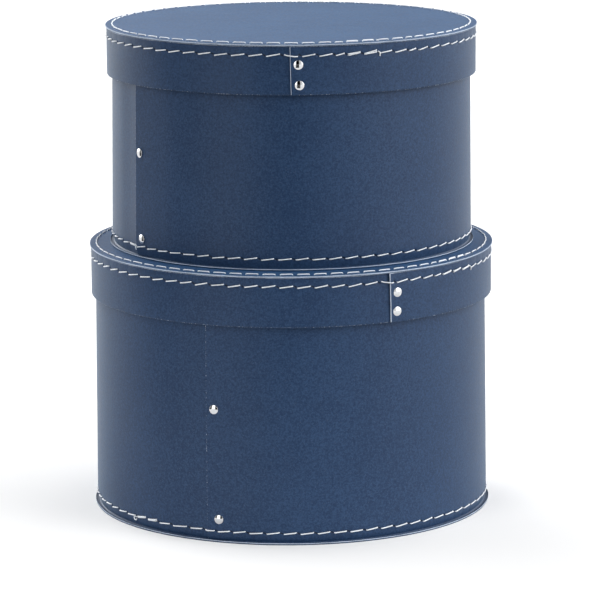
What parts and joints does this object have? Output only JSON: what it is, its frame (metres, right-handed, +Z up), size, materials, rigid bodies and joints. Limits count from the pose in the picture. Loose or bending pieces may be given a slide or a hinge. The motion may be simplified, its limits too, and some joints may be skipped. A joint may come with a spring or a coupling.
{
  "type": "hat box set",
  "caption": "Round lidded hat boxes of blue paper-faced card, stacked, with stitched corners and riveted laps; each lid lifts off.",
  "frame": {"origin": "middle of the underside of the large box's base board", "axes": "+Z up, the way the lids lift; -Y is the front, with the riveted lap of the small lid; +X is to the right seen from the front"},
  "size_m": [0.3011, 0.3004, 0.3596],
  "materials": {
    "blue_card": "matt paper facing with a fine grain",
    "thread": "white twisted sewing thread",
    "rivet_metal": "bright nickel plate"
  },
  "bodies": {
    "large_box": {"large_base": "blue_card", "large_wall": "blue_card", "large_wall_rivets": "rivet_metal", "large_wall_rivet_backs": "rivet_metal", "large_base_side_thread": "thread", "large_base_under_thread": "thread"},
    "large_lid": {"large_lid_board": "blue_card", "large_lid_band": "blue_card", "large_lid_rivets": "rivet_metal", "large_lid_rivet_backs": "rivet_metal", "large_lid_side_thread": "thread", "large_lid_top_thread": "thread"},
    "small_box": {"small_base": "blue_card", "small_wall": "blue_card", "small_wall_rivets": "rivet_metal", "small_wall_rivet_backs": "rivet_metal", "small_base_side_thread": "thread", "small_base_under_thread": "thread"},
    "small_lid": {"small_lid_board": "blue_card", "small_lid_band": "blue_card", "small_lid_rivets": "rivet_metal", "small_lid_rivet_backs": "rivet_metal", "small_lid_side_thread": "thread", "small_lid_top_thread": "thread"}
  },
  "joints": [
    {"name": "large_lid_lift", "type": "slide", "parent": "large_box", "child": "large_lid", "axis": [0, 0, 1], "range_m": [0, 0.15]},
    {"name": "small_box_lift", "type": "slide", "parent": "large_lid", "child": "small_box", "axis": [0, 0, 1], "range_m": [0, 0.1]},
    {"name": "small_lid_lift", "type": "slide", "parent": "small_box", "child": "small_lid", "axis": [0, 0, 1], "range_m": [0, 0.15]}
  ]
}
